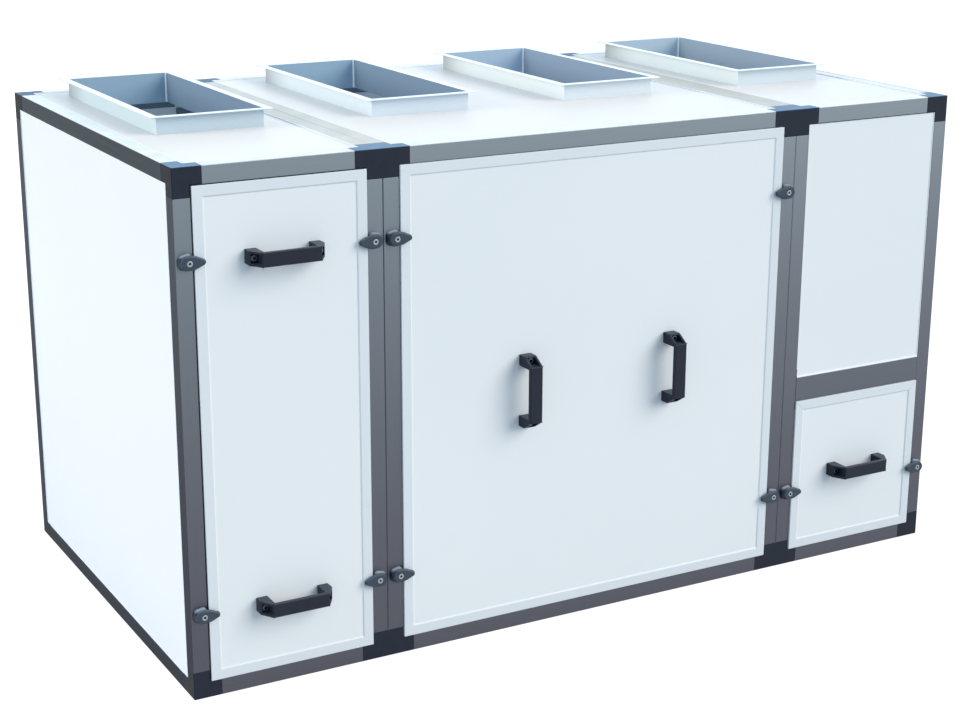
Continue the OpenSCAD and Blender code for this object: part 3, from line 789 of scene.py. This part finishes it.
roof_bead = 0.0021
spread, rise = 0.0004, 0.0003
roof_edges = []
for name in ("roof_panel_left", "roof_panel_centre", "roof_panel_right"):
    low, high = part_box(name)
    x0, x1 = low[0] - spread, high[0] + spread
    y0, y1 = low[1] - spread, high[1] + spread
    z = high[2] + rise
    roof_edges.append(loop([(x0, y0, z), (x1, y0, z), (x1, y1, z), (x0, y1, z)]))
sweep_lines("roof_edge_beads", roof_edges, roof_bead, sealant)

# %% Sealed edges of the upright panels
panel_bead, sill_radius = 0.0012, 0.0017
outset, end_gap = 0.0002, 0.001
panel_edges = []
for name, side in (("left_panel", 0), ("right_panel", 1)):
    (x0, y0, z0), (x1, y1, z1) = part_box(name)
    x = x1 + outset if side else x0 - outset
    panel_edges.append(loop([(x, y0, z0), (x, y1, z0), (x, y1, z1), (x, y0, z1)]))
for name in ("back_panel_left", "back_panel_centre", "back_panel_right"):
    (x0, y0, z0), (x1, y1, z1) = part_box(name)
    y = y1 + outset
    panel_edges.append(loop([(x0, y, z0), (x1, y, z0), (x1, y, z1), (x0, y, z1)]))
(x0, y0, z0), (x1, y1, z1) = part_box("upper_front_panel")
y = y0 - outset
panel_edges.append([(x0, y, z1 - end_gap), (x0, y, z0), (x1, y, z0), (x1, y, z1 - end_gap)])
sweep_lines("panel_edge_beads", panel_edges, panel_bead, sealant)
y, z = y0 - 0.0006, z0 + 0.0004
sweep_lines("sill_bead", [[(x0 + end_gap, y, z), (x1 - end_gap, y, z)]], sill_radius, sealant)

# %% Foam cords between the modules
case_front, case_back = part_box("front_rails")[0][1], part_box("back_rails")[1][1]
print("case front and back:", round(case_front, 4), round(case_back, 4))
cord = 0.00029
wide_cord = 2.2 * cord
sunk = 0.0004
arm = 0.052
seam = 0.433
for name, x, radius, finish, slot in (("left_seam_cords", -seam, cord, cord_rubber, "seal_rubber"),
                                      ("right_seam_cords", seam, wide_cord, upright_metal, "frame_aluminium")):
    deep = radius - 0.0001
    cords = [[(x, y, arm), (x, y, case_height - arm)] for y in (case_front + deep, case_back - radius)]
    sweep_lines(name, cords, radius, finish)
level_cords = []
for x in (-seam, seam):
    for z in (2 * cord, case_height - sunk):
        level_cords.append([(x, case_front + arm, z), (x, case_back - arm, z)])
sweep_lines("level_seam_cords", level_cords, 2 * cord, strip_cord)

# %% Painted shadows in the open gaps: black lines where a door or panel sits a little low
# painted shadow: black lines stand in for the shade in the open gaps
gap_shadow_radius, gap_shadow_out, gap_shadow_end = 0.0011, 0.0003, 0.003
half_gap = 0.0006
low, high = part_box("door_left")
side, top, y = low[0] - half_gap, high[2] + half_gap, case_front - gap_shadow_out
gap_shadows = [[(side, y, low[2] + gap_shadow_end), (side, y, top), (high[0] - gap_shadow_end, y, top)]]
low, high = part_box("upper_front_panel")
y, z = low[1] - gap_shadow_out, high[2] + 0.0002
gap_shadows.append([(low[0] + end_gap, y, z), (high[0] - end_gap, y, z)])
sweep_lines("painted_gap_shadows", gap_shadows, gap_shadow_radius, seal_rubber)

# %% Mitred upper corners of the low door
border = 0.018
clear, mitre_line = 0.0012, 0.0003
low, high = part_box("door_right")
y = low[1] + 0.0002
mitres = []
for x, inward in ((low[0], 1), (high[0], -1)):
    mitres.append([(x + inward * clear, y, high[2] - clear), (x + inward * border, y, high[2] - border)])
sweep_lines("door_mitre_lines", mitres, mitre_line, line_shade)

# %% Joint at the left end of the wide rail
low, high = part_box("mid_rail")
joint_line, joint_end = 0.0005, 0.0006
x, y = low[0] + 0.0002, case_front + 0.0001
joint = [[(x, y, low[2] + joint_end), (x, y, high[2] - joint_end)]]
sweep_lines("wide_rail_joint", joint, joint_line, seal_rubber)

# %% [markdown]
# ## Turn latches
# A turn latch is a slim almond-shaped wing on a low oval foot. Both are moulded, so their sides lean a little and the
# front rim is round. An outline around a few circles is the natural way to draw such a wing: for every direction the
# farthest circle gives the point. A smaller inset gives the next ring, and rings joined one after the other make a
# closed skin. The wing turns on its own body and the foot stays on the case.

# %% Outline around circles
ring_steps = 72
latch_rim_angle = math.radians(38)
merge_distance = 0.000005


def around(circles, inset):
    outline = []
    for step in range(ring_steps):
        angle = 2 * math.pi * step / ring_steps
        way = (math.cos(angle), math.sin(angle))
        u, v, r = max(circles, key=lambda c: c[0] * way[0] + c[1] * way[1] + c[2])
        outline.append((u + (r - inset) * way[0], v + (r - inset) * way[1]))
    return outline


def skin_of_rings(name, rings, finish, closed):
    points = [point for ring in rings for point in ring]
    faces = []
    for row in range(len(rings) if closed else len(rings) - 1):
        here, there = row * ring_steps, (row + 1) % len(rings) * ring_steps
        for step in range(ring_steps):
            after = (step + 1) % ring_steps
            faces.append((here + step, here + after, there + after, there + step))
    if not closed:
        faces += [tuple(range(ring_steps)), tuple(len(points) - 1 - step for step in range(ring_steps))]
    mesh = bpy.data.meshes.new(name)
    mesh.from_pydata(points, [], faces)
    shape = bmesh.new()
    shape.from_mesh(mesh)
    bmesh.ops.remove_doubles(shape, verts=shape.verts, dist=merge_distance)
    bmesh.ops.recalc_face_normals(shape, faces=shape.faces)
    for face in shape.faces:
        face.smooth = True
    shape.to_mesh(mesh)
    shape.free()
    mesh.set_sharp_from_angle(angle=latch_rim_angle)
    mesh.materials.append(finish)
    piece = bpy.data.objects.new(name, mesh)
    bpy.context.collection.objects.link(piece)
    flats = piece.modifiers.new("Flat faces", "WEIGHTED_NORMAL")
    flats.keep_sharp = True
    return piece


# %% Ten wings, each on its own body
# A circle is its place along and across the wing and its radius. A row is an inset and a height above the back.
wing_circles = [(-0.0060, 0, 0.0094), (-0.0042, 0.0034, 0.0090), (-0.0042, -0.0034, 0.0090),
                (0.0030, 0.0040, 0.0086), (0.0030, -0.0040, 0.0086), (0.0105, 0.0058, 0.0055),
                (0.0105, -0.0058, 0.0055), (0.0231, 0, 0.0059)]
wing_rows = [(0.0006, 0.0), (0.0, 0.0005), (0.0013, 0.0036), (0.0016, 0.0043), (0.0021, 0.0048), (0.0029, 0.0050)]
bore_rows = [(0.0055, 0.0050), (0.0053, 0.0048), (0.0053, 0.0026), (0.0041, 0.0026), (0.0041, 0.0)]
latches = []
for joint in frame["record"]["behaviour"]["joints"]:
    node = joint["child"]
    low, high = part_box(node)
    px, _, pz = joint["pos_m"]
    way = 1 if (low[0] + high[0]) / 2 > px else -1
    latches.append((px, pz, way))
    back = high[1]
    outlines = [(around(wing_circles, inset), lift) for inset, lift in wing_rows]
    outlines += [(around([(0, 0, radius)], 0), lift) for radius, lift in bore_rows]
    rings = [[(px + way * u, back - lift, pz + v) for u, v in outline] for outline, lift in outlines]
    wing = skin_of_rings(node + "_wing", rings, latch_plastic, True)
    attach(wing, node)
    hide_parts(node)
print("wings:", len(latches), "faces each:", len(wing.data.polygons))

# %% Ten feet in one mesh
foot_circles = [(0, 0.0054, 0.0090), (0, -0.0054, 0.0090), (-0.0078, 0.0037, 0.0089), (-0.0078, -0.0037, 0.0089)]
foot_rows = [(0.0, -0.0002), (0.0, 0.0008), (0.0003, 0.0025), (0.0010, 0.0044), (0.0019, 0.0058),
             (0.0031, 0.0069), (0.0047, 0.0075), (0.0062, 0.0077)]
feet = []
for px, pz, way in latches:
    rings = []
    for inset, lift in foot_rows:
        rings.append([(px + way * u, case_front - lift, pz + v) for u, v in around(foot_circles, inset)])
    feet.append(skin_of_rings("latch_foot", rings, base_plastic, False))
shape = bmesh.new()
for foot in feet:
    shape.from_mesh(foot.data)
    bpy.data.objects.remove(foot)
feet_mesh = bpy.data.meshes.new("latch_feet")
shape.to_mesh(feet_mesh)
shape.free()
feet_mesh.set_sharp_from_angle(angle=latch_rim_angle)
feet_mesh.materials.append(base_plastic)
latch_feet = bpy.data.objects.new("latch_feet", feet_mesh)
bpy.context.collection.objects.link(latch_feet)
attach(latch_feet, "case")
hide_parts("latch_bases")
print("feet:", len(feet), "faces:", len(feet_mesh.polygons))

# %% [markdown]
# ## Floor and room
# A plain studio: a pale floor in a white room. The room lights the unit with a soft cool tone, yet the camera, and
# every reflection in metal, should see plain white. A Light Path node knows which ray is asking, so floor and room
# can answer white to those rays only and keep their calmer tone for the light they give.

# %% Rays that show the white background: straight to the camera, off metal or through glass
def background_rays(tree):
    rays = tree.nodes.new("ShaderNodeLightPath")
    total = rays.outputs["Is Camera Ray"]
    for kind in ("Is Glossy Ray", "Is Transmission Ray"):
        either = tree.nodes.new("ShaderNodeMath")
        either.operation = "MAXIMUM"
        tree.links.new(total, either.inputs[0])
        tree.links.new(rays.outputs[kind], either.inputs[1])
        total = either.outputs[0]
    return total


# %% Floor
reach, drop = 14.0, -0.0006
floor_corners = [(-reach, -reach, drop), (reach, -reach, drop), (reach, reach, drop), (-reach, reach, drop)]
floor_mesh = bpy.data.meshes.new("studio_floor")
floor_mesh.from_pydata(floor_corners, [], [(0, 1, 2, 3)])
floor = bpy.data.objects.new("studio_floor", floor_mesh)
bpy.context.collection.objects.link(floor)
floor_glow = 0.86
floor_material = bpy.data.materials.new("studio_floor_pale")
floor_material.use_nodes = True
floor_tree = floor_material.node_tree
floor_shader = floor_tree.nodes["Principled BSDF"]
floor_shader.inputs["Roughness"].default_value = 1.0
floor_shader.inputs["Specular IOR Level"].default_value = 0.0
floor_shader.inputs["Emission Color"].default_value = rgb(1, 1, 1)
seen = background_rays(floor_tree)
tone = blend(floor_tree, seen, rgb(0.42, 0.42, 0.42), rgb(0.3, 0.3, 0.3))
floor_tree.links.new(tone, floor_shader.inputs["Base Color"])
floor_tree.links.new(times(floor_tree, seen, floor_glow), floor_shader.inputs["Emission Strength"])
floor_mesh.materials.append(floor_material)
print("floor:", 2 * reach, "m across")

# %% Room
room_light = 0.74
room_tone = rgb(0.68, 0.87, 1.03)
world = bpy.data.worlds.new("studio_room")
bpy.context.scene.world = world
world.use_nodes = True
world_tree = world.node_tree
backdrop = world_tree.nodes["Background"]
seen = background_rays(world_tree)
world_tree.links.new(blend(world_tree, seen, room_tone, rgb(1, 1, 1)), backdrop.inputs["Color"])
world_tree.links.new(remap(world_tree, seen, 0.0, 1.0, room_light, 1.0), backdrop.inputs["Strength"])
print("room light:", room_light)

# %% [markdown]
# ## Lamps
# One broad warm light from the upper right gives the handles their soft shadows on the doors. A lamp on the left
# lifts the left side, a blue lamp behind puts the cool sheen on the blocks' tops, and small lamps fill the back, the
# roof and the inside of the collars. Lamps that would show as bright patches in the metal are hidden from reflections.

# %% Soft lamps
def soft_lamp(name, place, aim, width, height, power, colour=(1, 1, 1)):
    lamp = bpy.data.lights.new(name, "AREA")
    lamp.shape = "RECTANGLE"
    lamp.size = width
    lamp.size_y = height
    lamp.energy = power
    lamp.color = colour
    holder = bpy.data.objects.new(name, lamp)
    bpy.context.collection.objects.link(holder)
    holder.location = place
    holder.rotation_euler = (Vector(aim) - Vector(place)).to_track_quat("-Z", "Y").to_euler()
    holder.visible_camera = False
    print("lamp", name, power, "W")
    return holder


side_lamp = soft_lamp("left_lamp", (-7.4, 1.0, 3.0), (-0.8, 0.0, 0.40), width=4.0, height=3.0, power=335)
side_lamp.visible_glossy = False
soft_lamp("back_lamp", (2.6, 4.6, 2.4), (0.0, 0.0, 0.9), width=5.0, height=2.0, power=52, colour=(0.42, 0.72, 1.0))
rear_lamp = soft_lamp("rear_fill", (0.6, 6.5, 0.8), (0.0, 0.4, 0.45), width=4.0, height=2.0, power=85,
                      colour=(1.0, 0.88, 0.76))
rear_lamp.visible_glossy = False
soft_lamp("top_lamp", (0.0, 0.2, 4.6), (0.0, 0.0, 0.9), width=4.0, height=3.0, power=14, colour=(1.0, 0.90, 0.80))
soft_lamp("inside_lamp", (0.0, -0.25, 0.35), (0.0, 0.42, 0.75), width=1.3, height=0.25, power=1.8,
          colour=(0.55, 0.78, 1.0))

# %% Key light: one broad even light from the upper right
key_way = Vector((-0.594, 0.650, -0.474))
key = bpy.data.lights.new("key_light", "SUN")
key.energy = 2.34
key.color = (1.0, 0.875, 0.755)
key.angle = math.radians(42)
key_holder = bpy.data.objects.new("key_light", key)
bpy.context.collection.objects.link(key_holder)
key_holder.rotation_euler = key_way.to_track_quat("-Z", "Y").to_euler()
print("key light", key.energy, "over", round(math.degrees(key.angle)), "degrees")

# %% [markdown]
# ## Camera
# The camera stands left of the front corner, a little above the roof, with a long lens that keeps the uprights nearly
# parallel. Its place and its three axes were solved from the corners of the case, so they are written as a matrix.

# %% Camera
camera_data = bpy.data.cameras.new("camera")
camera_data.sensor_fit = "HORIZONTAL"
camera_data.sensor_width = 36.0
camera_data.lens = 70.187
camera = bpy.data.objects.new("camera", camera_data)
bpy.context.collection.objects.link(camera)
stand = Vector((-1.79557, -3.24842, 1.48933))
right = Vector((0.87450674, -0.48500174, 0.0033568))
up = Vector((0.136935, 0.25353516, 0.95758484))
back = Vector((-0.46528138, -0.83695474, 0.28813192))
turn = Matrix((right, up, back)).transposed().to_4x4()
camera.matrix_world = Matrix.Translation(stand) @ turn
bpy.context.scene.camera = camera
bpy.context.scene.view_settings.view_transform = "Standard"
print("camera lens:", camera_data.lens, "mm")
